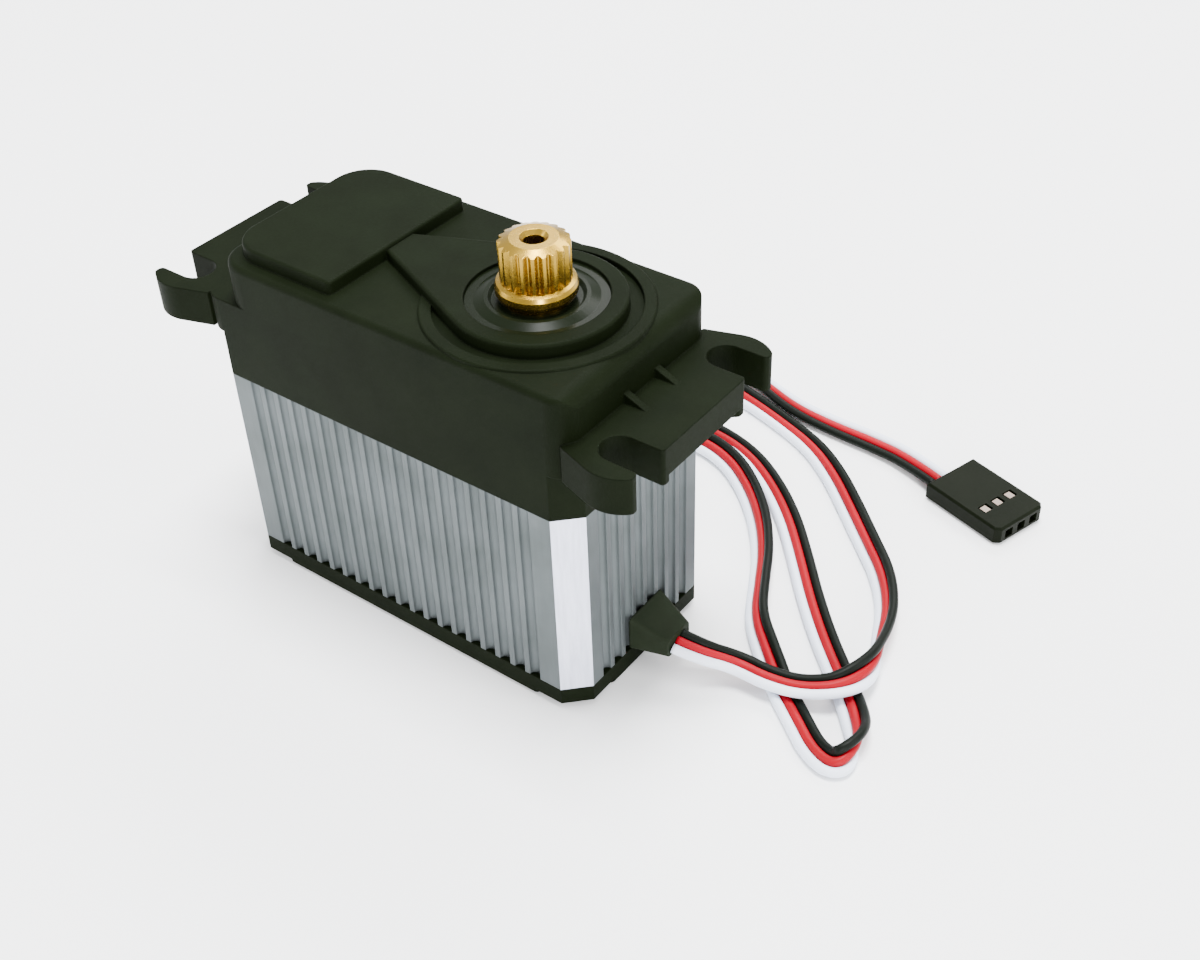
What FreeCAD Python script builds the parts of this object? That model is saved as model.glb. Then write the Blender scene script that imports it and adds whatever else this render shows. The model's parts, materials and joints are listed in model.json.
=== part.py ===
"""Servo motor of the large class, with a finned aluminium middle case and a three-wire lead.

Frame: millimetres, +Z up. The origin is the centre of the flat underside that the servo stands on.
+X points along the case to the end with the output shaft and the lead, +Y across the case.
Each function below makes one piece, and main() writes each piece to parts/NAME.step.
"""
import FreeCAD, Part
import math
import os

V = FreeCAD.Vector
UP = V(0, 0, 1)

# ---- case ----
CASE_L = 59.5            # length of the case between the mounting ears
CASE_W = 29.2            # width of the case
CORNER = 3.0             # leg of the flat cut on the four upright corners
COVER_H = 3.5            # bottom cover
SLEEVE_TOP = 31.9        # joint between aluminium case and gear case
TOP_Z = 49.8             # general top face
ROOF = 1.9               # thickness of the gear case roof
WALL = 1.8               # thickness of the plastic walls
CAVITY_X = 27.4          # half length of the space inside the aluminium case
CAVITY_Y = 12.4          # half width of that space
CAVITY_CORNER = 6.6      # leg of its corner cuts, which leave room for the long screws
GASKET_T = 0.4
MOTOR_END_X = -26.0      # motor end of the gear case above the ear
MOTOR_END_R = 4.5
TOP_END_R = 2.3          # rounding of the top edge at the output end
SCREW_X = 26.0           # long case screws
SCREW_Y = 11.0
SCREW_R = 1.25
SCREW_TIP = 42.0
SCREW_HEAD_R = 2.2
SCREW_HEAD_H = 1.8
CORNER_RECESS = 1.0      # the corners of the underside are set back so the screw heads clear the table

# ---- cooling fins ----
FIN_PITCH_LONG = 2.51
FIN_COUNT_LONG = 19
FIN_PITCH_SHORT = 2.45
FIN_COUNT_SHORT = 8
FIN_GROOVE_R = 0.85
FIN_GROOVE_DEPTH = 0.8

# ---- mounting ears ----
EAR_X = 38.7             # outer end of the ears
EAR_Z0 = 38.65
EAR_Z1 = 43.65
SLOT_X = 34.4            # centre of the round end of each open slot
SLOT_Y = 10.9
SLOT_R = 2.4
EYE_X = 34.9             # rounded outside of the finger around each slot
EYE_R = 5.2
FLANK_LEAN = 18.0        # degrees, how the ear widens from the case to the fingers
TAB_BEVEL = 1.0          # lower outer edge of the tab between the slots
EAR_ROOT_Y = 13.9
COVE_HALF = 11.4
RIB_Y = 3.1
RIB_T = 1.0
RIB_END = 32.8
RIB_H = 1.7
COVE_R = 2.0             # hollow rounding under the root of each ear

# ---- raised forms on the top ----
DISC_R = 14.3
DISC_Z = 50.1
MOAT_R = 12.7            # shallow trench round the boss
MOAT_Z = 49.4
BOSS_R = 11.0
BOSS_Z = 51.3
NECK_X = -7.3            # the boss narrows like a drop towards the raised block
NECK_HALF = 2.45
BLOCK_X0 = -25.3
BLOCK_X1 = -7.3
BLOCK_HALF = 12.6
BLOCK_Z = 51.6
BLOCK_CORNER_R = 5.0

# ---- axes of the gear train ----
OUT_X = 14.7             # output shaft
IDLER_X = 0.7            # fixed axle of the first and third gears
MOTOR_X = -11.7
PRESSURE = math.radians(20)
BACKLASH = 0.07
ADDENDUM = 0.78
DEDENDUM = 1.12

# module, teeth of the small wheel, teeth of the large wheel for each of the four meshes
MESH_1 = (0.4, 12, 50)
MESH_2 = (0.4, 12, 58)
MESH_3 = (0.5, 12, 44)
MESH_4 = (0.7, 12, 28)

# ---- heights in the gear space ----
PLATE_TOP = 34.0
FIRST_WHEEL_Z = (34.4, 35.8)
FIRST_PINION_TOP = 38.0
SECOND_WHEEL_Z = (36.1, 37.7)
SECOND_PINION_TOP = 40.6
THIRD_WHEEL_Z = (38.3, 40.4)
THIRD_PINION_TOP = 44.8
OUT_GEAR_Z = (41.0, 44.8)
AXLE_R = 1.25
AXLE_TOP = 47.6
GEAR_PLAY = 0.04         # radial running clearance of a gear on its axle

# ---- output shaft and bearings ----
JOURNAL_R = 1.9          # lower end, on which the second gear also runs
NECK_R = 4.0
COLLAR_R = 5.0
COLLAR_Z = (51.3, 53.6)
SPLINE_TIP_R = 4.32
SPLINE_ROOT_R = 3.82
SPLINE_TEETH = 20
SPLINE_TOP = 59.0
SPLINE_CHAMFER = 1.35    # sideways; its height is SPLINE_CHAMFER_H
SPLINE_CHAMFER_H = 0.55
HORN_HOLE_R = 1.25       # tapping hole for an M3 screw
HORN_HOLE_DEPTH = 10.0
TOP_BEARING = dict(bore=4.0, outside=8.0, z0=45.6, z1=50.6, ball=1.25, count=10)
LOW_BEARING = dict(bore=1.9, outside=4.9, z0=30.8, z1=34.0, ball=0.7, count=9)
SHAFT_BOTTOM = 29.6

# ---- motor ----
MOTOR_R = 12.2
MOTOR_Z = (10.0, 31.9)
CAN_WALL = 1.0
ROTOR_SHAFT_R = 1.15
ROTOR_SHAFT_Z = (9.0, 36.6)
CORE_R = 8.6
CORE_Z = (14.5, 27.5)
ROTOR_ARMS = 5
MOTOR_SCREW_Y = 8.0

# ---- position sensor ----
POT_R = 5.5
POT_Z = (20.5, 27.5)
POT_SHAFT_R = 1.0

# ---- circuit board ----
BOARD_Z = (5.0, 6.6)
BOARD_X = (-26.6, 24.0)
BOARD_Y = 11.8

# ---- lead ----
LEAD_D = 3.9             # width of the three bonded wires side by side
LEAD_R = LEAD_D / 2
GROMMET_X = 35.0         # outer face, where the lead leaves
GROMMET_FOOT = (3.7, 3.55, 9.0)          # half width, underside and top against the case
GROMMET_TIP = (2.5, 3.9, 6.9)            # the same at the outer face
CABLE_GAP = (2.7, 4.5, 8.0)              # half width, underside and top of the opening
# Route of the lead: out of the grommet, over its own two lower passes, round behind the servo
# and back twice, then to the plug. Heights keep the tube on the table or clear of itself.
LEAD_ROUTE = [
    (34.9, -0.3, 5.4), (38.4, 0.8, 5.6), (42.4, 2.9, 6.1), (46.7, 3.4, 6.4), (51.4, 4.3, 6.5),
    (55.3, 7.9, 6.5), (56.6, 13.2, 5.2), (54.9, 18.8, 2.7), (52.9, 24.3, 1.95), (49.1, 30.0, 1.95),
    (43.6, 35.2, 1.95), (38.1, 40.5, 1.95), (32.2, 46.0, 1.95), (25.8, 50.3, 1.95), (18.9, 53.6, 1.95),
    (11.6, 55.8, 1.95), (4.8, 56.9, 1.95), (-2.2, 56.6, 1.95), (-6.8, 51.4, 1.95), (-4.2, 45.4, 1.95),
    (3.0, 44.1, 1.95), (11.4, 45.4, 1.95), (18.4, 43.9, 1.95), (24.8, 39.8, 1.95), (31.3, 34.1, 1.95),
    (37.2, 27.5, 1.95), (42.8, 20.9, 1.95), (48.4, 15.0, 1.95), (54.4, 9.5, 1.95), (59.4, 4.3, 1.95),
    (62.2, 0.5, 1.95), (60.6, -4.2, 1.95), (55.8, -5.3, 1.95), (52.0, -1.5, 1.95), (47.9, 3.3, 1.95),
    (43.6, 8.2, 1.95), (39.2, 12.8, 1.95), (36.0, 18.6, 1.95), (32.8, 24.5, 1.95), (28.3, 30.4, 1.95),
    (22.9, 35.8, 1.95), (17.0, 39.4, 1.95), (10.6, 40.9, 1.95), (3.8, 39.7, 1.95), (-3.8, 40.2, 1.95),
    (-10.2, 43.6, 1.95), (-12.6, 50.2, 1.95), (-10.8, 57.2, 1.95), (-4.8, 61.6, 1.95), (3.0, 62.6, 1.95),
    (11.0, 60.4, 1.95), (18.2, 58.1, 1.95), (25.6, 57.2, 1.95), (32.8, 56.7, 1.95), (39.9, 55.4, 1.95),
    (46.4, 53.0, 1.95),
]

# ---- plug ----
PLUG_L = 14.0
PLUG_W = 9.8
PLUG_H = 2.9
PLUG_SIDE = 1.7          # the wires enter this far to one side of the middle
PLUG_CHAMFER = 0.8
PLUG_PITCH = 2.54
PLUG_WINDOW = (1.4, 1.7)
PLUG_TURN = -17.0        # degrees, direction of the plug on the table
PLUG_Z = 0.1             # underside of the plug


# ---------------------------------------------------------------- helpers

def box(x0, x1, y0, y1, z0, z1):
    return Part.makeBox(x1 - x0, y1 - y0, z1 - z0, V(x0, y0, z0))


def cyl(r, z0, z1, x=0.0, y=0.0):
    return Part.makeCylinder(r, z1 - z0, V(x, y, z0), UP)


def tube(r_out, r_in, z0, z1, x=0.0, y=0.0):
    return cyl(r_out, z0, z1, x, y).cut(cyl(r_in, z0, z1, x, y))


def prism(points, z0, z1):
    corners = [V(x, y, z0) for x, y in points]
    return Part.Face(Part.makePolygon(corners + corners[:1])).extrude(V(0, 0, z1 - z0))


def cut_corner_box(half_x, half_y, leg, z0, z1):
    """Upright block whose four corners are cut flat."""
    outline = []
    for sx, sy, first in ((1, -1, 0), (1, 1, 1), (-1, 1, 0), (-1, -1, 1)):
        on_long = (sx * (half_x - leg), sy * half_y)
        on_short = (sx * half_x, sy * (half_y - leg))
        outline += [on_short, on_long] if first else [on_long, on_short]
    return prism(outline, z0, z1)


def turned(profile, x=0.0, y=0.0):
    """Solid of revolution about the upright axis at (x, y); profile is a list of (radius, z)."""
    corners = [V(x + r, y, z) for r, z in profile]
    face = Part.Face(Part.makePolygon(corners + corners[:1]))
    return face.revolve(V(x, y, 0), UP, 360)


def joined(shapes):
    first, rest = shapes[0], shapes[1:]
    return first.multiFuse(rest).removeSplitter() if rest else first


def group(shapes):
    return Part.makeCompound(shapes)


def four_corners(half_x, half_y):
    return [(sx * half_x, sy * half_y) for sx in (1, -1) for sy in (1, -1)]


def upright_edges(shape, picks):
    return [e for e in shape.Edges if is_upright(e) and picks(e.CenterOfMass)]


def is_upright(edge):
    ends = edge.Vertexes
    if len(ends) != 2:
        return False
    span = ends[1].Point.sub(ends[0].Point)
    return abs(span.z) > 0.5 and math.hypot(span.x, span.y) < 1e-6


def level_edges(shape, z, picks=lambda c: True):
    return [e for e in shape.Edges
            if all(abs(v.Point.z - z) < 1e-6 for v in e.Vertexes)
            and abs(e.CenterOfMass.z - z) < 1e-6 and picks(e.CenterOfMass)]


def rounded_path(points):
    """Wire of straight runs joined by tangent arcs as large as the runs allow, and the arc radii."""
    spots = [V(*p) for p in points]
    edges = []
    radii = []
    start = spots[0]
    for before, corner, after in zip(spots, spots[1:], spots[2:]):
        back = before.sub(corner)
        ahead = after.sub(corner)
        reach = 0.45 * min(back.Length, ahead.Length)
        back.normalize()
        ahead.normalize()
        turn = math.pi - back.getAngle(ahead)
        radius = reach / math.tan(turn / 2)
        radii.append(radius)
        enter = corner.add(back.multiply(reach))
        leave = corner.add(ahead.multiply(reach))
        middle_way = enter.add(leave).multiply(0.5).sub(corner)
        to_centre = radius / math.cos(turn / 2)
        middle_way.normalize()
        middle = corner.add(middle_way.multiply(to_centre - radius))
        edges.append(Part.LineSegment(start, enter).toShape())
        edges.append(Part.Arc(enter, middle, leave).toShape())
        start = leave
    edges.append(Part.LineSegment(start, spots[-1]).toShape())
    return Part.Wire(edges), radii


def swept_tube(points, radius):
    path, radii = rounded_path(points)
    start = V(*points[0])
    heading = V(*points[1]).sub(start)
    circle = Part.Wire(Part.makeCircle(radius, start, heading))
    return path.makePipeShell([circle], True, True), path, radii


def small_wire(points, radius):
    return swept_tube(points, radius)[0]


# ---------------------------------------------------------------- gear teeth

def involute(angle):
    return math.tan(angle) - angle


def polar(x, y, r, angle, z):
    return V(x + r * math.cos(angle), y + r * math.sin(angle), z)


def flank_points(module, teeth):
    """(radius, half angle of the tooth) at root, base or mid flank, and tip."""
    pitch = module * teeth / 2
    base = pitch * math.cos(PRESSURE)
    tip = pitch + ADDENDUM * module
    root = pitch - DEDENDUM * module
    half_at_pitch = (math.pi * module / 2 - BACKLASH) / (2 * pitch)

    def half(r):
        lean = involute(math.acos(min(1.0, base / r)))
        return half_at_pitch + involute(PRESSURE) - lean

    low = max(root, base)
    middle = (low + tip) / 2
    return [(root, half(low)), (low, half(low)), (middle, half(middle)), (tip, half(tip))]


def toothed_wheel(module, teeth, z0, z1, x, phase):
    """Spur wheel whose first tooth points at the angle phase, on the axis (x, 0)."""
    root, low, middle, tip = flank_points(module, teeth)
    edges = []
    last = None
    first = None
    for i in range(teeth):
        centre = phase + 2 * math.pi * i / teeth
        rising = [polar(x, 0, r, centre - half, z0) for r, half in (root, low, middle, tip)]
        falling = [polar(x, 0, r, centre + half, z0) for r, half in (tip, middle, low, root)]
        if last is None:
            first = rising[0]
        else:
            edges.append(Part.LineSegment(last, rising[0]).toShape())
        if low[0] > root[0]:
            edges.append(Part.LineSegment(rising[0], rising[1]).toShape())
        edges.append(Part.Arc(rising[1], rising[2], rising[3]).toShape())
        edges.append(Part.LineSegment(rising[3], falling[0]).toShape())
        edges.append(Part.Arc(falling[0], falling[1], falling[2]).toShape())
        if low[0] > root[0]:
            edges.append(Part.LineSegment(falling[2], falling[3]).toShape())
        last = falling[3]
    edges.append(Part.LineSegment(last, first).toShape())
    return Part.Face(Part.Wire(edges)).extrude(V(0, 0, z1 - z0))


def meshing_phase(own_teeth, other_teeth, other_phase, towards_other):
    """Phase of a wheel so that it meshes with another wheel lying in the direction towards_other."""
    other_angle = other_phase - (towards_other + math.pi)
    return towards_other + (math.pi - other_teeth * other_angle) / own_teeth


# ---------------------------------------------------------------- outer case

def screw_holes(r, z0, z1):
    return [cyl(r, z0, z1, x, y) for x, y in four_corners(SCREW_X, SCREW_Y)]


def cable_gap():
    """Opening in the end wall that the grommet fills."""
    half, z0, z1 = CABLE_GAP
    return box(CAVITY_X - 3, CASE_L / 2 + 1, -half, half, z0, z1)


def bottom_cover():
    cover = cut_corner_box(CASE_L / 2, CASE_W / 2, CORNER, 0, COVER_H)
    low_edges = level_edges(cover, 0)
    cover = cover.makeChamfer(0.5, low_edges)
    inside = cut_corner_box(CAVITY_X, CAVITY_Y, CAVITY_CORNER, 1.6, COVER_H)
    recesses = []
    for x, y in four_corners(CASE_L / 2, CASE_W / 2):
        pad = cyl(7.4, -1, CORNER_RECESS, x, y)
        recesses.append(pad)
    sinks = screw_holes(SCREW_HEAD_R + 0.3, -1, CORNER_RECESS + 1.3)
    holes = screw_holes(SCREW_R + 0.15, -1, COVER_H + 1)
    cover = cover.cut([inside] + recesses + sinks + holes)
    posts = [tube(2.0, 0.7, 1.6, BOARD_Z[0], x, y) for x, y in ((-22, 0), (20, -8), (20, 8))]
    return joined([cover] + posts)


def gasket(z0, half_x, half_y, leg):
    outside = cut_corner_box(CASE_L / 2 - 0.9, CASE_W / 2 - 0.9, CORNER, z0, z0 + GASKET_T)
    inside = cut_corner_box(half_x, half_y, leg, z0, z0 + GASKET_T)
    return outside.cut([inside] + screw_holes(SCREW_R + 0.2, z0, z0 + GASKET_T))


def bottom_gasket():
    return gasket(COVER_H, CAVITY_X, CAVITY_Y, CAVITY_CORNER)


def gear_gasket():
    return gasket(SLEEVE_TOP - GASKET_T, CAVITY_X, CAVITY_Y, CAVITY_CORNER)


def fin_grooves():
    """Rounded upright grooves on the four sides."""
    cutters = []
    inset = FIN_GROOVE_R - FIN_GROOVE_DEPTH
    for i in range(FIN_COUNT_LONG):
        x = (i - (FIN_COUNT_LONG - 1) / 2) * FIN_PITCH_LONG
        for side in (1, -1):
            cutters.append(cyl(FIN_GROOVE_R, COVER_H, SLEEVE_TOP, x, side * (CASE_W / 2 + inset)))
    for i in range(FIN_COUNT_SHORT):
        y = (i - (FIN_COUNT_SHORT - 1) / 2) * FIN_PITCH_SHORT
        for side in (1, -1):
            cutters.append(cyl(FIN_GROOVE_R, COVER_H, SLEEVE_TOP, side * (CASE_L / 2 + inset), y))
    return cutters


def heat_sink_case():
    sleeve = cut_corner_box(CASE_L / 2, CASE_W / 2, CORNER, COVER_H, SLEEVE_TOP)
    inside = cut_corner_box(CAVITY_X, CAVITY_Y, CAVITY_CORNER, COVER_H, SLEEVE_TOP)
    holes = screw_holes(SCREW_R + 0.15, COVER_H, SLEEVE_TOP)
    rim = (CASE_L / 2 - 0.9 + 0.05, CASE_W / 2 - 0.9 + 0.05, CORNER)
    seats = [cut_corner_box(*rim, COVER_H, COVER_H + GASKET_T),
             cut_corner_box(*rim, SLEEVE_TOP - GASKET_T, SLEEVE_TOP)]
    return sleeve.cut([inside, cable_gap()] + holes + seats + fin_grooves())


def case_screws():
    screws = []
    for x, y in four_corners(SCREW_X, SCREW_Y):
        top = CORNER_RECESS + 1.3
        head = cyl(SCREW_HEAD_R, top - SCREW_HEAD_H, top, x, y)
        socket = cyl(1.1, top - SCREW_HEAD_H, top - 0.6, x, y)
        shank = cyl(SCREW_R, top, SCREW_TIP, x, y)
        screws.append(head.fuse(shank).cut(socket))
    return group(screws)


# ---------------------------------------------------------------- gear case with the mounting ears

def ear(side, wall):
    """Mounting ear: a tab between two slots open to the outside, with a rounded finger beyond each.

    side is +1 or -1, and wall is how far out the end wall of the case stands above the ear.
    """
    root = box(CASE_L / 2 - 1, SLOT_X, -EAR_ROOT_Y, EAR_ROOT_Y, EAR_Z0, EAR_Z1)
    tab = box(SLOT_X - 1, EAR_X, -SLOT_Y, SLOT_Y, EAR_Z0, EAR_Z1)
    tab = tab.makeChamfer(TAB_BEVEL, [e for e in level_edges(tab, EAR_Z0) if e.CenterOfMass.x > EAR_X - 0.1])
    eyes = [cyl(EYE_R, EAR_Z0, EAR_Z1, EYE_X, y) for y in (SLOT_Y, -SLOT_Y)]
    plate = joined([root, tab, ear_flanks()] + eyes)
    slots = []
    for y in (SLOT_Y, -SLOT_Y):
        slots.append(cyl(SLOT_R, EAR_Z0, EAR_Z1, SLOT_X, y))
        slots.append(box(SLOT_X, EAR_X + 3, y - SLOT_R, y + SLOT_R, EAR_Z0, EAR_Z1))
    slots.append(box(EAR_X, EAR_X + 3, -20, 20, EAR_Z0, EAR_Z1))
    plate = plate.cut(slots)
    tips = upright_edges(plate, lambda c: c.x > EAR_X - 1.6 and abs(c.y) > SLOT_Y)
    plate = plate.makeFillet(0.6, tips)
    corners = upright_edges(plate, lambda c: c.x > EAR_X - 0.1 and abs(c.y) < SLOT_Y)
    plate = plate.makeFillet(0.5, corners)
    ribs = [ear_rib(y, wall) for y in (RIB_Y, -RIB_Y)]
    whole = joined([plate, ear_cove()] + ribs)
    return whole if side > 0 else whole.mirror(V(0, 0, 0), V(1, 0, 0))


def ear_flanks():
    """Slanting sides of the ear, from the case out to the round of each finger."""
    lean = math.radians(FLANK_LEAN)
    touch_x = EYE_X - EYE_R * math.sin(lean)
    touch_y = SLOT_Y + EYE_R * math.cos(lean)
    foot_x = CASE_L / 2 - 1
    foot_y = touch_y - (touch_x - foot_x) * math.tan(lean)
    return prism([(foot_x, -foot_y), (touch_x, -touch_y), (touch_x, touch_y), (foot_x, foot_y)],
                 EAR_Z0, EAR_Z1)


def ear_cove():
    """Strip with a hollow rounded face between the end wall and the underside of the ear."""
    wall = CASE_L / 2
    strip = box(wall - 1, wall + COVE_R, -COVE_HALF, COVE_HALF, EAR_Z0 - COVE_R, EAR_Z0)
    hollow = Part.makeCylinder(COVE_R, 2 * COVE_HALF, V(wall + COVE_R, -COVE_HALF, EAR_Z0 - COVE_R),
                               V(0, 1, 0))
    return strip.cut(hollow)


def ear_rib(y, wall):
    foot = wall - 1
    corners = [V(foot, y - RIB_T / 2, EAR_Z1), V(RIB_END, y - RIB_T / 2, EAR_Z1),
               V(foot, y - RIB_T / 2, EAR_Z1 + RIB_H)]
    return Part.Face(Part.makePolygon(corners + corners[:1])).extrude(V(0, RIB_T, 0))


def boss_outline(z0, z1):
    """Round boss over the output bearing, drawn out like a drop towards the raised block."""
    round_part = cyl(BOSS_R, z0, z1, OUT_X)
    reach = OUT_X - NECK_X
    lean = math.asin((BOSS_R - NECK_HALF) / reach)
    touch_x = OUT_X - BOSS_R * math.sin(lean)
    touch_y = BOSS_R * math.cos(lean)
    drop = prism([(NECK_X, -NECK_HALF), (touch_x, -touch_y), (touch_x, touch_y), (NECK_X, NECK_HALF)],
                 z0, z1)
    return joined([round_part, drop])


def raised_block():
    block = box(BLOCK_X0, BLOCK_X1, -BLOCK_HALF, BLOCK_HALF, TOP_Z - 1, BLOCK_Z)
    far = upright_edges(block, lambda c: c.x < BLOCK_X0 + 0.1)
    block = block.makeFillet(BLOCK_CORNER_R, far)
    near = upright_edges(block, lambda c: c.x > BLOCK_X1 - 0.1)
    block = block.makeFillet(0.7, near)
    return block.makeFillet(0.4, level_edges(block, BLOCK_Z))


def motor_end_cutter():
    """Takes the motor end of the case back above the ear and rounds its upright corners."""
    upper = box(MOTOR_END_X, CASE_L, -CASE_W / 2, CASE_W / 2, EAR_Z1, TOP_Z + 1)
    upper = upper.makeFillet(MOTOR_END_R, upright_edges(upper, lambda c: c.x < 0))
    return box(-CASE_L, 0, -CASE_W, CASE_W, EAR_Z1, TOP_Z + 1).cut(upper)


def output_end_cutter():
    """Rounds the top edge at the output end."""
    x = CASE_L / 2 - TOP_END_R
    z = TOP_Z - TOP_END_R
    corner = box(x, CASE_L, -CASE_W, CASE_W, z, TOP_Z + 1)
    return corner.cut(Part.makeCylinder(TOP_END_R, 2 * CASE_W, V(x, -CASE_W, z), V(0, 1, 0)))


def gear_case_shell():
    low = cut_corner_box(CASE_L / 2, CASE_W / 2, CORNER, SLEEVE_TOP, EAR_Z0)
    high = box(-CASE_L / 2, CASE_L / 2, -CASE_W / 2, CASE_W / 2, EAR_Z0, TOP_Z)
    high = high.makeFillet(CORNER, upright_edges(high, lambda c: True))
    shell = low.fuse(high).cut(motor_end_cutter())
    shell = shell.makeFillet(0.8, level_edges(shell, TOP_Z))
    shell = shell.cut(output_end_cutter())
    disc = cyl(DISC_R, TOP_Z - 4, DISC_Z, OUT_X)
    disc = disc.makeFillet(0.25, level_edges(disc, DISC_Z))
    plate = shell.fuse(disc).cut(cyl(MOAT_R, MOAT_Z, DISC_Z + 1, OUT_X))
    boss = boss_outline(TOP_Z - 2, BOSS_Z)
    boss = boss.makeFillet(0.45, level_edges(boss, BOSS_Z))
    return joined([plate, boss, raised_block(), ear(1, CASE_L / 2), ear(-1, -MOTOR_END_X)])


def low_corner_cut(space):
    """Keeps material round the long screws in the upper part of the gear space."""
    return space.cut(screw_holes(SCREW_R + 1.6, EAR_Z1 - 2, TOP_Z))


def gear_case():
    case = gear_case_shell()
    low = cut_corner_box(CASE_L / 2 - WALL, CASE_W / 2 - WALL, CAVITY_CORNER + 1.2, SLEEVE_TOP, EAR_Z1 - 2)
    high = box(MOTOR_END_X + WALL, CASE_L / 2 - WALL - TOP_END_R / 2, -CAVITY_Y - 0.3, CAVITY_Y + 0.3,
               EAR_Z1 - 2, TOP_Z - ROOF)
    cavity = low.fuse(low_corner_cut(high))
    case = case.cut(cavity)
    roof = TOP_Z - ROOF
    bearing_seat = cyl(TOP_BEARING["outside"] + 1.5, TOP_BEARING["z0"] - 0.45, roof + 0.5, OUT_X)
    axle_seat = cyl(3.2, THIRD_PINION_TOP + 0.4, roof + 0.5, IDLER_X)
    case = joined([case, bearing_seat, axle_seat])
    bores = [
        cyl(TOP_BEARING["outside"], TOP_BEARING["z0"], BOSS_Z + 1, OUT_X),
        cyl(TOP_BEARING["outside"] + 0.8, TOP_BEARING["z1"], BOSS_Z + 1, OUT_X),
        cyl(TOP_BEARING["outside"] - 1.0, TOP_BEARING["z0"] - 1, TOP_BEARING["z0"], OUT_X),
        cyl(AXLE_R, THIRD_PINION_TOP, AXLE_TOP, IDLER_X),
    ]
    threads = screw_holes(SCREW_R, SLEEVE_TOP, SCREW_TIP + 0.6)
    return case.cut(bores + threads)


def gear_plate():
    """Inner floor of the gear space. It carries the motor, the axle and the lower bearing."""
    plate = cut_corner_box(CASE_L / 2 - WALL - 0.1, CASE_W / 2 - WALL - 0.1, CAVITY_CORNER + 1.3,
                           SLEEVE_TOP, PLATE_TOP)
    hub = cyl(LOW_BEARING["outside"] + 1.6, LOW_BEARING["z0"] - 0.8, SLEEVE_TOP, OUT_X)
    plate = joined([plate, hub])
    bores = [
        cyl(LOW_BEARING["outside"], LOW_BEARING["z0"], PLATE_TOP, OUT_X),
        cyl(LOW_BEARING["outside"] - 1.0, LOW_BEARING["z0"] - 1, PLATE_TOP, OUT_X),
        cyl(AXLE_R, SLEEVE_TOP, PLATE_TOP, IDLER_X),
        cyl(4.4, SLEEVE_TOP, PLATE_TOP, MOTOR_X),
    ]
    bores += [cyl(1.4, SLEEVE_TOP, PLATE_TOP, MOTOR_X, y) for y in (MOTOR_SCREW_Y, -MOTOR_SCREW_Y)]
    return plate.cut(bores)


# ---------------------------------------------------------------- bearings

def ball_pitch(b):
    return (b["bore"] + b["outside"]) / 2


def race_groove(b):
    centre = V(OUT_X, 0, (b["z0"] + b["z1"]) / 2)
    return Part.makeTorus(ball_pitch(b), b["ball"] + 0.03, centre, UP)


def bearing_outer(b):
    inner_edge = ball_pitch(b) + 0.55 * b["ball"]
    return tube(b["outside"], inner_edge, b["z0"], b["z1"], OUT_X).cut(race_groove(b))


def bearing_inner(b):
    outer_edge = ball_pitch(b) - 0.55 * b["ball"]
    return tube(outer_edge, b["bore"], b["z0"], b["z1"], OUT_X).cut(race_groove(b))


def bearing_balls(b):
    level = (b["z0"] + b["z1"]) / 2
    balls = []
    for i in range(b["count"]):
        angle = 2 * math.pi * i / b["count"]
        balls.append(Part.makeSphere(b["ball"], polar(OUT_X, 0, ball_pitch(b), angle, level)))
    return group(balls)


def output_seal():
    """Dished dust seal that covers the top bearing round the shaft."""
    floor = TOP_BEARING["z1"]
    outer = TOP_BEARING["outside"] + 0.75
    inner = NECK_R + 0.06
    return turned([(inner, floor + 0.05), (outer, floor + 0.05), (outer, floor + 0.3), (7.6, floor + 0.3),
                   (6.4, floor + 0.75), (5.9, floor + 0.75), (5.5, floor + 0.25), (inner, floor + 0.25)],
                  OUT_X)


# ---------------------------------------------------------------- output shaft and gears

def spline():
    points = []
    for i in range(SPLINE_TEETH):
        centre = 2 * math.pi * i / SPLINE_TEETH
        step = 2 * math.pi / SPLINE_TEETH
        for r, share in ((SPLINE_ROOT_R, -0.44), (SPLINE_TIP_R, -0.14), (SPLINE_TIP_R, 0.14),
                         (SPLINE_ROOT_R, 0.44)):
            spot = polar(OUT_X, 0, r, centre + share * step, 0)
            points.append((spot.x, spot.y))
    toothed = prism(points, COLLAR_Z[1], SPLINE_TOP)
    envelope = turned([(0, COLLAR_Z[1]), (SPLINE_TIP_R + 0.1, COLLAR_Z[1]),
                       (SPLINE_TIP_R + 0.1, SPLINE_TOP - SPLINE_CHAMFER_H),
                       (SPLINE_TIP_R - SPLINE_CHAMFER, SPLINE_TOP), (0, SPLINE_TOP)], OUT_X)
    return toothed.common(envelope)


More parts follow.
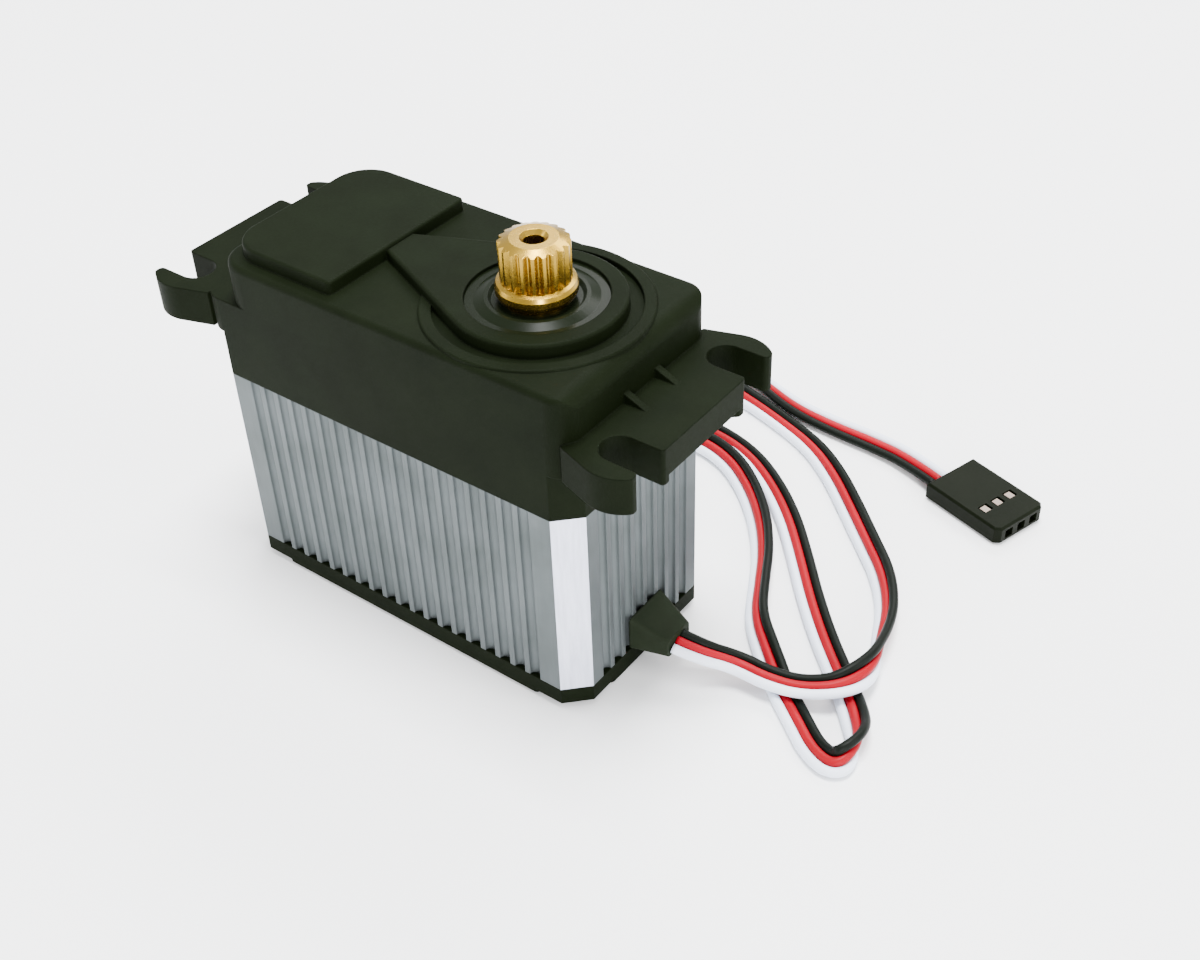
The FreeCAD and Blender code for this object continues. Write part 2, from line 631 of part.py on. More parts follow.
def output_shaft():
    low = LOW_BEARING["z1"]
    body = turned([
        (0, SHAFT_BOTTOM), (JOURNAL_R, SHAFT_BOTTOM), (JOURNAL_R, OUT_GEAR_Z[0]),
        (NECK_R, OUT_GEAR_Z[0]), (NECK_R, OUT_GEAR_Z[1]), (NECK_R + 0.7, OUT_GEAR_Z[1]),
        (NECK_R + 0.7, TOP_BEARING["z0"]), (NECK_R, TOP_BEARING["z0"]), (NECK_R, COLLAR_Z[0]),
        (COLLAR_R - 0.8, COLLAR_Z[0]), (COLLAR_R - 0.25, COLLAR_Z[0] + 0.25),
        (COLLAR_R, COLLAR_Z[0] + 0.8), (COLLAR_R, COLLAR_Z[1] - 0.7), (COLLAR_R - 0.2, COLLAR_Z[1] - 0.2),
        (COLLAR_R - 0.7, COLLAR_Z[1]), (0, COLLAR_Z[1])], OUT_X)
    shaft = joined([body, spline()])
    horn_hole = cyl(HORN_HOLE_R, SPLINE_TOP - HORN_HOLE_DEPTH, SPLINE_TOP, OUT_X)
    hole_rim = turned([(0, SPLINE_TOP - 0.5), (HORN_HOLE_R, SPLINE_TOP - 0.5),
                       (HORN_HOLE_R + 0.5, SPLINE_TOP), (0, SPLINE_TOP)], OUT_X)
    sensor_socket = cyl(POT_SHAFT_R, SHAFT_BOTTOM, low, OUT_X)
    return shaft.cut([horn_hole, hole_rim, sensor_socket])


def wheel_recess(x, r_in, r_out, z0, depth):
    return tube(r_out, r_in, z0, z0 + depth, x)


def output_gear(phase):
    module, _, teeth = MESH_4
    wheel = toothed_wheel(module, teeth, OUT_GEAR_Z[0], OUT_GEAR_Z[1], OUT_X, phase)
    return wheel.cut([cyl(NECK_R, OUT_GEAR_Z[0], OUT_GEAR_Z[1], OUT_X),
                      wheel_recess(OUT_X, 5.4, 7.8, OUT_GEAR_Z[1] - 0.6, 0.6)])


def third_gear(wheel_phase, pinion_phase):
    wheel_module, _, wheel_teeth = MESH_3
    pinion_module, pinion_teeth, _ = MESH_4
    wheel = toothed_wheel(wheel_module, wheel_teeth, THIRD_WHEEL_Z[0], THIRD_WHEEL_Z[1], IDLER_X,
                          wheel_phase)
    wheel = wheel.cut(wheel_recess(IDLER_X, 5.4, 9.4, THIRD_WHEEL_Z[1] - 0.5, 0.5))
    pinion = toothed_wheel(pinion_module, pinion_teeth, THIRD_WHEEL_Z[1], THIRD_PINION_TOP, IDLER_X,
                           pinion_phase)
    gear = wheel.fuse(pinion)
    return gear.cut(cyl(AXLE_R + GEAR_PLAY, THIRD_WHEEL_Z[0], THIRD_PINION_TOP, IDLER_X))


def second_gear(wheel_phase, pinion_phase):
    """Runs freely round the lower part of the output shaft."""
    wheel_module, _, wheel_teeth = MESH_2
    pinion_module, pinion_teeth, _ = MESH_3
    hub = cyl(JOURNAL_R + 1.1, PLATE_TOP + 0.4, SECOND_WHEEL_Z[0], OUT_X)
    wheel = toothed_wheel(wheel_module, wheel_teeth, SECOND_WHEEL_Z[0], SECOND_WHEEL_Z[1], OUT_X,
                          wheel_phase)
    wheel = wheel.cut(wheel_recess(OUT_X, 4.6, 10.2, SECOND_WHEEL_Z[1] - 0.4, 0.4))
    pinion = second_pinion(pinion_module, pinion_teeth, pinion_phase)
    gear = hub.multiFuse([wheel, pinion])
    return gear.cut(cyl(JOURNAL_R + GEAR_PLAY, PLATE_TOP, SECOND_PINION_TOP, OUT_X))


def second_pinion(module, teeth, phase):
    return toothed_wheel(module, teeth, SECOND_WHEEL_Z[1], SECOND_PINION_TOP, OUT_X, phase)


def first_gear(wheel_phase, pinion_phase):
    wheel_module, _, wheel_teeth = MESH_1
    pinion_module, pinion_teeth, _ = MESH_2
    wheel = toothed_wheel(wheel_module, wheel_teeth, FIRST_WHEEL_Z[0], FIRST_WHEEL_Z[1], IDLER_X,
                          wheel_phase)
    pinion = toothed_wheel(pinion_module, pinion_teeth, FIRST_WHEEL_Z[1], FIRST_PINION_TOP, IDLER_X,
                           pinion_phase)
    gear = wheel.fuse(pinion)
    return gear.cut(cyl(AXLE_R + GEAR_PLAY, FIRST_WHEEL_Z[0], FIRST_PINION_TOP, IDLER_X))


def motor_pinion(phase):
    module, teeth, _ = MESH_1
    wheel = toothed_wheel(module, teeth, PLATE_TOP + 0.3, FIRST_WHEEL_Z[1] + 0.2, MOTOR_X, phase)
    return wheel.cut(cyl(ROTOR_SHAFT_R, PLATE_TOP, FIRST_WHEEL_Z[1] + 1, MOTOR_X))


def gear_axle():
    return cyl(AXLE_R, SLEEVE_TOP, AXLE_TOP, IDLER_X)


def gear_pieces():
    """All toothed pieces, each turned so that its teeth sit in the gaps of its neighbour."""
    out_phase = 0.0
    third_pinion = meshing_phase(MESH_4[1], MESH_4[2], out_phase, 0.0)
    third_wheel = 0.0
    second_small = meshing_phase(MESH_3[1], MESH_3[2], third_wheel, math.pi)
    second_wheel = 0.0
    first_pinion = meshing_phase(MESH_2[1], MESH_2[2], second_wheel, 0.0)
    first_wheel = 0.0
    rotor_pinion = meshing_phase(MESH_1[1], MESH_1[2], first_wheel, 0.0)
    return {
        "output_gear": output_gear(out_phase),
        "third_gear": third_gear(third_wheel, third_pinion),
        "second_gear": second_gear(second_wheel, second_small),
        "first_gear": first_gear(first_wheel, first_pinion),
        "motor_pinion": motor_pinion(rotor_pinion),
    }


# ---------------------------------------------------------------- motor

def motor_can():
    can = cyl(MOTOR_R, MOTOR_Z[0], MOTOR_Z[1], MOTOR_X)
    inside = cyl(MOTOR_R - CAN_WALL, MOTOR_Z[0], MOTOR_Z[1] - CAN_WALL, MOTOR_X)
    front_hole = cyl(3.0, MOTOR_Z[1] - 2, MOTOR_Z[1], MOTOR_X)
    taps = [cyl(1.1, MOTOR_Z[1] - 2, MOTOR_Z[1], MOTOR_X, y) for y in (MOTOR_SCREW_Y, -MOTOR_SCREW_Y)]
    return can.cut([inside, front_hole] + taps)


def motor_end_bell():
    inside_r = MOTOR_R - CAN_WALL
    bell = joined([cyl(MOTOR_R, MOTOR_Z[0] - 1.4, MOTOR_Z[0], MOTOR_X),
                   cyl(inside_r, MOTOR_Z[0], MOTOR_Z[0] + 1.6, MOTOR_X)])
    shaft_hole = cyl(2.5, MOTOR_Z[0] - 2, MOTOR_Z[0] + 2, MOTOR_X)
    slots = [box(MOTOR_X + side * 7.4 - 0.5, MOTOR_X + side * 7.4 + 0.5, -1.6, 1.6, 7, 13)
             for side in (1, -1)]
    return bell.cut([shaft_hole] + slots)


def motor_terminals():
    tabs = []
    for side in (1, -1):
        centre = MOTOR_X + side * 7.4
        tabs.append(box(centre - 0.3, centre + 0.3, -1.4, 1.4, MOTOR_Z[0] - 2.6, MOTOR_Z[0] + 1.5))
    return group(tabs)


def motor_bushings():
    front = tube(3.0, ROTOR_SHAFT_R + 0.03, MOTOR_Z[1] - 1.8, MOTOR_Z[1] + 1.4, MOTOR_X)
    rear = tube(2.5, ROTOR_SHAFT_R + 0.03, MOTOR_Z[0] - 1.2, MOTOR_Z[0] + 1.4, MOTOR_X)
    return group([front, rear])


def motor_magnets():
    ring = tube(MOTOR_R - CAN_WALL, 9.2, 13.0, 29.0, MOTOR_X)
    gap = box(MOTOR_X - 4.6, MOTOR_X + 4.6, -13, 13, 12, 30)
    return ring.cut(gap)


def motor_screws():
    screws = []
    for y in (MOTOR_SCREW_Y, -MOTOR_SCREW_Y):
        head = cyl(2.1, PLATE_TOP, PLATE_TOP + 1.4, MOTOR_X, y)
        shank = cyl(1.1, MOTOR_Z[1] - 1.0, PLATE_TOP, MOTOR_X, y)
        cross = box(MOTOR_X - 1.3, MOTOR_X + 1.3, y - 0.25, y + 0.25, PLATE_TOP + 0.8, PLATE_TOP + 2)
        screws.append(head.fuse(shank).cut(cross))
    return group(screws)


def rotor_shaft():
    return cyl(ROTOR_SHAFT_R, ROTOR_SHAFT_Z[0], ROTOR_SHAFT_Z[1], MOTOR_X)


def slot_sector(i, r_in, r_out, z0, z1, half_angle):
    """Wedge between two rotor arms."""
    middle = 2 * math.pi * (i + 0.5) / ROTOR_ARMS
    far = r_out / math.cos(half_angle)
    spots = [polar(MOTOR_X, 0, far, middle - half_angle, 0), polar(MOTOR_X, 0, far, middle + half_angle, 0)]
    wedge = prism([(MOTOR_X, 0)] + [(s.x, s.y) for s in spots], z0, z1)
    return wedge.common(tube(r_out, r_in, z0, z1, MOTOR_X))


def rotor_core():
    core = tube(CORE_R, ROTOR_SHAFT_R, CORE_Z[0], CORE_Z[1], MOTOR_X)
    pockets = []
    for i in range(ROTOR_ARMS):
        pockets.append(slot_sector(i, 3.0, CORE_R - 1.0, CORE_Z[0], CORE_Z[1], math.radians(26)))
        pockets.append(slot_sector(i, 3.0, CORE_R + 1.0, CORE_Z[0], CORE_Z[1], math.radians(4)))
    return core.cut(pockets)


def rotor_windings():
    coils = []
    for i in range(ROTOR_ARMS):
        coils.append(slot_sector(i, 3.2, CORE_R - 1.3, CORE_Z[0] - 0.7, CORE_Z[1] + 1.6,
                                 math.radians(23)))
    return group(coils)


def commutator():
    ring = tube(2.9, ROTOR_SHAFT_R, 11.7, 13.6, MOTOR_X)
    slits = []
    for i in range(ROTOR_ARMS):
        angle = 360 * i / ROTOR_ARMS
        slit = box(MOTOR_X + 2.2, MOTOR_X + 3.2, -0.12, 0.12, 11.7, 13.6)
        slit.rotate(V(MOTOR_X, 0, 0), UP, angle)
        slits.append(slit)
    return ring.cut(slits)


def motor_brushes():
    blocks = []
    for side in (1, -1):
        near = MOTOR_X + side * 2.95
        far = MOTOR_X + side * 6.6
        blocks.append(box(min(near, far), max(near, far), -1.0, 1.0, 11.8, 13.4))
    return group(blocks)


# ---------------------------------------------------------------- position sensor

def sensor_case():
    shell = cyl(POT_R, POT_Z[0], POT_Z[1], OUT_X)
    lugs = box(OUT_X - POT_R - 2.4, OUT_X + POT_R + 2.4, -1.5, 1.5, POT_Z[1] - 1.2, POT_Z[1])
    space = cyl(POT_R - 0.9, POT_Z[0] + 1.0, POT_Z[1] - 1.0, OUT_X)
    neck = cyl(POT_SHAFT_R + 0.05, POT_Z[1] - 2, POT_Z[1], OUT_X)
    return joined([shell, lugs]).cut([space, neck])


def sensor_rotor():
    disc = cyl(POT_R - 1.3, POT_Z[0] + 2.6, POT_Z[0] + 3.8, OUT_X)
    shaft = cyl(POT_SHAFT_R, POT_Z[0] + 3.8, LOW_BEARING["z1"] - 0.2, OUT_X)
    wiper = box(OUT_X + 1.2, OUT_X + 3.6, -0.6, 0.6, POT_Z[0] + 2.0, POT_Z[0] + 2.6)
    return joined([disc, shaft, wiper])


def sensor_terminals():
    pins = []
    for y in (-2.0, 0.0, 2.0):
        x0 = OUT_X + math.sqrt(POT_R ** 2 - y ** 2) - 0.2
        pins.append(box(x0 + 0.2, OUT_X + POT_R + 2.4, y - 0.4, y + 0.4, POT_Z[0] + 0.4, POT_Z[0] + 0.8))
    return group(pins)


# ---------------------------------------------------------------- electronics

def circuit_board():
    board = cut_corner_box(CAVITY_X - 0.6, BOARD_Y, CAVITY_CORNER, BOARD_Z[0], BOARD_Z[1])
    return board.common(box(BOARD_X[0], BOARD_X[1], -20, 20, BOARD_Z[0], BOARD_Z[1]))


def on_board(x, y, half_x, half_y, height):
    return box(x - half_x, x + half_x, y - half_y, y + half_y, BOARD_Z[1], BOARD_Z[1] + height)


def control_chip():
    return on_board(8.0, 4.6, 3.5, 3.5, 1.0)


def driver_chips():
    return group([on_board(x, y, 2.5, 2.0, 1.1) for x in (-22.5, -0.5) for y in (-6.0, 6.0)])


def board_capacitors():
    cans = []
    for x, y in ((6.0, -6.0), (14.4, -6.0)):
        base = on_board(x, y, 3.3, 3.3, 0.8)
        can = cyl(3.15, BOARD_Z[1] + 0.8, BOARD_Z[1] + 7.4, x, y)
        cans.append(base.fuse(can))
    return group(cans)


def motor_leads():
    wires = []
    for side in (1, -1):
        centre = MOTOR_X + side * 7.4
        top = MOTOR_Z[0] - 2.0
        wires.append(small_wire([(centre, 1.4 + 0.45, top), (centre, 3.2, top), (centre, 4.4, 7.6),
                                 (centre, 5.0, BOARD_Z[1])], 0.4))
    return group(wires)


def sensor_leads():
    wires = []
    for y in (-2.0, 0.0, 2.0):
        x = OUT_X + POT_R + 1.8
        wires.append(small_wire([(x, y, POT_Z[0] + 0.4), (x, y, 16.0), (x - 1.4, y * 1.2, 11.0),
                                 (x - 2.0, y * 1.3, BOARD_Z[1])], 0.4))
    return group(wires)


def lead_tail(y):
    """Bare length of one wire between the grommet and the board."""
    inside_x = CAVITY_X - 1.0
    return small_wire([(inside_x, y, 5.2), (inside_x - 1.0, y, 5.3), (inside_x - 1.3, y, 7.3),
                       (inside_x - 1.8, y, 9.4), (inside_x - 3.8, y, 9.4),
                       (inside_x - 4.2, y, BOARD_Z[1])], 0.5)


# ---------------------------------------------------------------- lead, grommet and plug

def upright_rectangle(x, half, z0, z1):
    corners = [V(x, -half, z0), V(x, half, z0), V(x, half, z1), V(x, -half, z1)]
    return Part.makePolygon(corners + corners[:1])


def cable_grommet():
    """Rubber strain relief tapering out to the lead, with a waist in the wall and a flange inside."""
    wall = CASE_L / 2
    taper = Part.makeLoft([upright_rectangle(wall, *GROMMET_FOOT),
                           upright_rectangle(GROMMET_X, *GROMMET_TIP)], True)
    slanting = [e for e in taper.Edges if wall + 0.1 < e.CenterOfMass.x < GROMMET_X - 0.1]
    taper = taper.makeFillet(0.7, slanting)
    half, z0, z1 = CABLE_GAP
    waist = box(CAVITY_X, wall, -half, half, z0, z1)
    flange = box(CAVITY_X - 1.0, CAVITY_X, -half - 0.8, half + 0.8, z0 - 0.3, z1 + 0.5)
    return joined([taper, waist, flange])


def servo_lead():
    solid, path, radii = swept_tube(LEAD_ROUTE, LEAD_R)
    print("lead: length %.1f mm, volume over section times length %.4f" %
          (path.Length, solid.Volume / (math.pi * LEAD_R ** 2 * path.Length)))
    print("lead radii: " + " ".join("%.1f" % r for r in radii))
    return solid


def place_plug(shape):
    """Puts a piece drawn along +X from the wire end onto the table where the lead ends."""
    end = LEAD_ROUTE[-1]
    shape.translate(V(0, PLUG_SIDE, PLUG_Z))
    shape.rotate(V(0, 0, 0), UP, PLUG_TURN)
    shape.translate(V(end[0], end[1], 0))
    return shape


def plug_windows():
    half_x, half_y = PLUG_WINDOW[0] / 2, PLUG_WINDOW[1] / 2
    return [box(9.3 - half_x, 9.3 + half_x, i * PLUG_PITCH - half_y, i * PLUG_PITCH + half_y,
                PLUG_H - 1.0, PLUG_H) for i in (-1, 0, 1)]


def plug_cells():
    return [box(4.0, PLUG_L, i * PLUG_PITCH - 0.75, i * PLUG_PITCH + 0.75, 0.7, 2.15) for i in (-1, 0, 1)]


def connector_housing():
    half = PLUG_W / 2
    tip = PLUG_L - PLUG_CHAMFER
    inner = half - PLUG_CHAMFER
    block = prism([(0, -half), (tip, -half), (PLUG_L, -inner), (PLUG_L, inner), (tip, half), (0, half)],
                  0, PLUG_H)
    block = block.makeChamfer(0.3, level_edges(block, 0) + level_edges(block, PLUG_H))
    return place_plug(block.cut(plug_windows() + plug_cells()))


def connector_terminals():
    pins = []
    for i in (-1, 0, 1):
        y = i * PLUG_PITCH
        barrel = box(4.2, PLUG_L - 0.8, y - 0.7, y + 0.7, 0.75, 2.1)
        bore = box(5.0, PLUG_L, y - 0.35, y + 0.35, 1.05, 1.75)
        tongue = box(8.7, 9.9, y - 0.55, y + 0.55, 2.1, PLUG_H - 0.15)
        pins.append(place_plug(barrel.fuse(tongue).cut(bore)))
    return group(pins)


def main():
    os.makedirs("parts", exist_ok=True)
    pieces = {
        "bottom_cover": bottom_cover(),
        "bottom_gasket": bottom_gasket(),
        "heat_sink_case": heat_sink_case(),
        "gear_gasket": gear_gasket(),
        "gear_case": gear_case(),
        "gear_plate": gear_plate(),
        "case_screws": case_screws(),
        "top_bearing_outer_ring": bearing_outer(TOP_BEARING),
        "top_bearing_inner_ring": bearing_inner(TOP_BEARING),
        "top_bearing_balls": bearing_balls(TOP_BEARING),
        "output_seal": output_seal(),
        "lower_bearing_outer_ring": bearing_outer(LOW_BEARING),
        "lower_bearing_inner_ring": bearing_inner(LOW_BEARING),
        "lower_bearing_balls": bearing_balls(LOW_BEARING),
        "output_shaft": output_shaft(),
        "gear_axle": gear_axle(),
        "motor_can": motor_can(),
        "motor_end_bell": motor_end_bell(),
        "motor_terminals": motor_terminals(),
        "motor_bushings": motor_bushings(),
        "motor_magnets": motor_magnets(),
        "motor_screws": motor_screws(),
        "motor_brushes": motor_brushes(),
        "rotor_shaft": rotor_shaft(),
        "rotor_core": rotor_core(),
        "rotor_windings": rotor_windings(),
        "commutator": commutator(),
        "position_sensor_case": sensor_case(),
        "position_sensor_rotor": sensor_rotor(),
        "position_sensor_terminals": sensor_terminals(),
        "circuit_board": circuit_board(),
        "control_chip": control_chip(),
        "driver_chips": driver_chips(),
        "board_capacitors": board_capacitors(),
        "motor_leads": motor_leads(),
        "position_sensor_leads": sensor_leads(),
        "signal_wire_tail": lead_tail(-1.5),
        "power_wire_tail": lead_tail(0.0),
        "ground_wire_tail": lead_tail(1.5),
        "cable_grommet": cable_grommet(),
        "servo_lead": servo_lead(),
        "connector_housing": connector_housing(),
        "connector_terminals": connector_terminals(),
    }
    pieces.update(gear_pieces())
    for name, shape in pieces.items():
        shape.exportStep("parts/%s.step" % name)
        state = "ok" if shape.isValid() else "NOT VALID"
        print("%-28s %2d solid(s) %9.1f mm3 %s" % (name, len(shape.Solids), shape.Volume, state))


main()
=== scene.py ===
"""Looks of a large servo motor: materials, the three-wire lead, a studio floor and soft light."""
import math

import bpy
from mathutils import Matrix, Vector
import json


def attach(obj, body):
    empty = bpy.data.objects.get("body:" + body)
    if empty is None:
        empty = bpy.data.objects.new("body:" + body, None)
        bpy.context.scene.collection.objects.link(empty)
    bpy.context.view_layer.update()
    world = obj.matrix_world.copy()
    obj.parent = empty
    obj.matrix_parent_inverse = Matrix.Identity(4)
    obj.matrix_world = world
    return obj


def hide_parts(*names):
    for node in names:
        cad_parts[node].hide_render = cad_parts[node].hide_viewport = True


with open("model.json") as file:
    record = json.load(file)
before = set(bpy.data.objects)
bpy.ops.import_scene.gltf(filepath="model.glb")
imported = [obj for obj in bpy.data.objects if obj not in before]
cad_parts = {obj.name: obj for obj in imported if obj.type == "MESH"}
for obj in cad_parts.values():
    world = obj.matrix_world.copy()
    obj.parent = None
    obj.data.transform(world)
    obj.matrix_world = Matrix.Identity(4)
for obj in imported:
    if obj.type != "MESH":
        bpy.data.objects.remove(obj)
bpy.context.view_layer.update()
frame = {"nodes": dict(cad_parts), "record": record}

MM = 0.001

# ---------------------------------------------------------------- camera


def add_camera():
    """Camera that looks down on the output end from the front right."""
    azimuth = math.radians(37.89)
    elevation = math.radians(39.04)
    roll = math.radians(-2.18)
    distance = 198.48 * MM
    target = Vector((21.75, 1.65, 25.0)) * MM
    level = math.cos(elevation)
    back = Vector((math.sin(azimuth) * level, -math.cos(azimuth) * level, math.sin(elevation)))
    right = Vector((math.cos(azimuth), math.sin(azimuth), 0.0))
    up = back.cross(right)
    rolled_right = right * math.cos(roll) + up * math.sin(roll)
    rolled_up = back.cross(rolled_right)
    place = target + back * distance
    turn = Matrix((rolled_right, rolled_up, back)).transposed().to_4x4()
    data = bpy.data.cameras.new("camera")
    data.sensor_width = 36.0
    data.lens = 46.75
    data.clip_start = 0.005
    data.clip_end = 20.0
    camera = bpy.data.objects.new("camera", data)
    camera.matrix_world = Matrix.Translation(place) @ turn
    bpy.context.scene.collection.objects.link(camera)
    bpy.context.scene.camera = camera


add_camera()

# ---------------------------------------------------------------- lead

WIRE_R = 0.66 * MM
WIRE_PITCH = 1.31 * MM
ROUTE_STEPS = 14            # points read back from each stretch of the route
WIRE_SIDES = 14

# Route of the middle wire, in millimetres: (x, y, z, roll). The roll, in degrees, is the turn of
# the flat lead about its own line: at 0 and 360 it lies flat with the white wire on the left of
# the way it runs, at 180 with the white wire on the right.
LEAD_ROUTE = [
    (34.9, -0.3, 5.4, 193), (38.0, 0.4, 4.6, 190), (42.2, 3.3, 2.5, 182), (46.6, 3.3, 2.3, 180),
    (51.4, 4.3, 2.4, 180), (55.9, 7.1, 3.3, 187), (57.2, 12.5, 3.0, 248), (54.9, 18.8, 1.8, 302),
    (52.9, 24.3, 1.6, 314), (49.1, 30.0, 1.5, 320), (43.6, 35.2, 1.4, 326), (38.1, 40.5, 1.2, 336),
    (32.2, 46.0, 1.0, 346), (25.9, 50.5, 0.8, 355), (18.6, 53.3, 0.7, 360), (11.2, 55.4, 0.9, 355),
    (4.6, 56.3, 1.4, 330), (-2.2, 56.6, 1.9, 295), (-6.8, 51.4, 2.0, 270), (-4.2, 45.4, 1.9, 245),
    (3.0, 44.1, 1.4, 210), (11.4, 45.0, 0.9, 185), (18.4, 43.5, 0.7, 180), (24.8, 39.6, 0.7, 180),
    (31.3, 34.1, 0.7, 180), (37.2, 27.5, 0.7, 180), (42.8, 20.9, 0.7, 180), (48.4, 15.0, 0.7, 180),
    (54.4, 9.5, 0.7, 180), (59.4, 4.3, 1.2, 197), (61.8, 0.1, 2.2, 264), (61.1, -4.0, 1.6, 330),
    (57.3, -2.9, 0.9, 355), (52.8, 0.6, 0.7, 360), (48.1, 4.1, 0.8, 356), (43.6, 8.2, 1.4, 330),
    (39.0, 12.6, 1.7, 314), (35.9, 18.6, 1.7, 310), (32.8, 24.6, 1.6, 314), (28.5, 30.6, 1.5, 322),
    (23.0, 36.1, 1.4, 328), (17.2, 40.0, 1.5, 332), (10.6, 41.6, 1.5, 336), (3.8, 40.2, 1.3, 338),
    (-3.8, 40.4, 1.6, 325), (-10.2, 43.6, 1.8, 315), (-12.6, 50.2, 1.8, 315),
    (-10.8, 57.2, 1.7, 320), (-4.8, 61.4, 1.5, 325), (3.0, 62.5, 1.3, 332), (11.1, 60.1, 1.2, 344),
    (18.4, 57.4, 1.1, 354), (25.8, 56.6, 1.1, 364), (33.0, 56.4, 1.2, 370), (39.9, 55.6, 1.3, 366),
    (46.4, 53.0, 1.6, 360),
]


def route_curve(name, values):
    """Smooth line through the weights of the given points, read back as points."""
    data = bpy.data.curves.new(name, "CURVE")
    data.dimensions = "3D"
    data.resolution_u = ROUTE_STEPS
    spline = data.splines.new("NURBS")
    spline.points.add(len(values) - 1)
    for point, value in zip(spline.points, values):
        point.co = (*value, 1.0)
    spline.order_u = 3
    spline.use_endpoint_u = True
    holder = bpy.data.objects.new(name, data)
    bpy.context.scene.collection.objects.link(holder)
    mesh = bpy.data.meshes.new_from_object(holder)
    line = [v.co.copy() for v in mesh.vertices]
    bpy.data.objects.remove(holder)
    return line


def tube_points(centres, sides, ups, radius, count):
    """Rings of points round a line, each in the plane of its side and up directions."""
    rings = []
    for centre, side, up in zip(centres, sides, ups):
        ring = []
        for i in range(count):
            angle = 2 * math.pi * i / count
            across, over = radius * math.cos(angle), radius * math.sin(angle)
            ring.append(centre + side * across + up * over)
        rings.append(ring)
    return rings


def add_tube(vertices, faces, slots, rings, slot):
    """Adds a closed tube with flat ends through the rings, in one material slot."""
    start = len(vertices)
    count = len(rings[0])
    for ring in rings:
        vertices.extend(ring)
    for k in range(len(rings) - 1):
        for i in range(count):
            a = start + k * count + i
            b = start + k * count + (i + 1) % count
            faces.append((a, b, b + count, a + count))
            slots.append(slot)
    faces.append(tuple(range(start + count - 1, start - 1, -1)))
    last = start + (len(rings) - 1) * count
    faces.append(tuple(range(last, last + count)))
    slots.extend((slot, slot))


def mesh_object(name, vertices, faces, materials, slots=None):
    """Smooth-shaded mesh in the scene; slots is the material index of each face."""
    mesh = bpy.data.meshes.new(name)
    mesh.from_pydata(vertices, [], faces)
    for material in materials:
        mesh.materials.append(material)
    if slots:
        mesh.polygons.foreach_set("material_index", slots)
    mesh.shade_smooth()
    thing = bpy.data.objects.new(name, mesh)
    bpy.context.scene.collection.objects.link(thing)
    return thing


def lead_strands(materials):
    """Three bonded wires side by side along the route; also gives the route and its length."""
    line = route_curve("lead_line", [Vector(p[:3]) * MM for p in LEAD_ROUTE])
    rolls = route_curve("roll_line", [Vector((p[3], 0, 0)) for p in LEAD_ROUTE])
    sides, ups = [], []
    for k, spot in enumerate(line):
        ahead = (line[min(k + 1, len(line) - 1)] - line[max(k - 1, 0)]).normalized()
        left = Vector((0, 0, 1)).cross(ahead).normalized()
        over = ahead.cross(left)
        roll = math.radians(rolls[k].x)
        sides.append(left * math.cos(roll) + over * math.sin(roll))
        ups.append(over * math.cos(roll) - left * math.sin(roll))
    vertices, faces, slots = [], [], []
    for slot, offset in enumerate((WIRE_PITCH, 0.0, -WIRE_PITCH)):
        centres = [spot + side * offset for spot, side in zip(line, sides)]
        rings = tube_points(centres, sides, ups, WIRE_R, WIRE_SIDES)
        add_tube(vertices, faces, slots, rings, slot)
    thing = mesh_object("lead_three_wires", vertices, faces, materials, slots)
    length = sum((b - a).length for a, b in zip(line, line[1:]))
    return thing, line, length


# ---------------------------------------------------------------- materials

CORNER_FLAT = 0.0413        # the corner flats, which get a painted highlight, are where |x| + |y| is more than this, in metres


class Nodes:
    """Small helper for building a node material."""

    def __init__(self, name):
        self.material = bpy.data.materials.new(name)
        self.material.use_nodes = True
        self.tree = self.material.node_tree
        self.shader = self.tree.nodes["Principled BSDF"]
        self.where = self.add("ShaderNodeTexCoord").outputs["Object"]

    def add(self, kind, **settings):
        node = self.tree.nodes.new(kind)
        for key, value in settings.items():
            setattr(node, key, value)
        return node

    def link(self, source, target):
        self.tree.links.new(source, target)

    def noise(self, scale, detail=4.0, rough=0.55, stretch=None):
        node = self.add("ShaderNodeTexNoise")
        node.inputs["Scale"].default_value = scale
        node.inputs["Detail"].default_value = detail
        node.inputs["Roughness"].default_value = rough
        source = self.where
        if stretch:
            mapping = self.add("ShaderNodeMapping")
            mapping.inputs["Scale"].default_value = stretch
            self.link(source, mapping.inputs["Vector"])
            source = mapping.outputs["Vector"]
        self.link(source, node.inputs["Vector"])
        return node.outputs["Fac"]

    def ramp(self, source, low, high, low_at=0.35, high_at=0.65):
        node = self.add("ShaderNodeValToRGB")
        node.color_ramp.elements[0].position = low_at
        node.color_ramp.elements[1].position = high_at
        node.color_ramp.elements[0].color = (*low, 1.0)
        node.color_ramp.elements[1].color = (*high, 1.0)
        self.link(source, node.inputs["Fac"])
        return node.outputs["Color"]

    def spread(self, source, low, high):
        node = self.add("ShaderNodeMapRange")
        node.inputs["To Min"].default_value = low
        node.inputs["To Max"].default_value = high
        self.link(source, node.inputs["Value"])
        return node.outputs["Result"]

    def bump(self, source, strength, distance, edge=None):
        """Surface grain; edge is a radius that softens hard edges in the shading."""
        node = self.add("ShaderNodeBump")
        node.inputs["Strength"].default_value = strength
        node.inputs["Distance"].default_value = distance
        self.link(source, node.inputs["Height"])
        self.link(node.outputs["Normal"], self.shader.inputs["Normal"])
        if edge:
            bevel = self.add("ShaderNodeBevel")
            bevel.samples = 6
            bevel.inputs["Radius"].default_value = edge
            self.link(bevel.outputs["Normal"], node.inputs["Normal"])

    def set(self, **values):
        for key, value in values.items():
            self.shader.inputs[key.replace("_", " ")].default_value = value


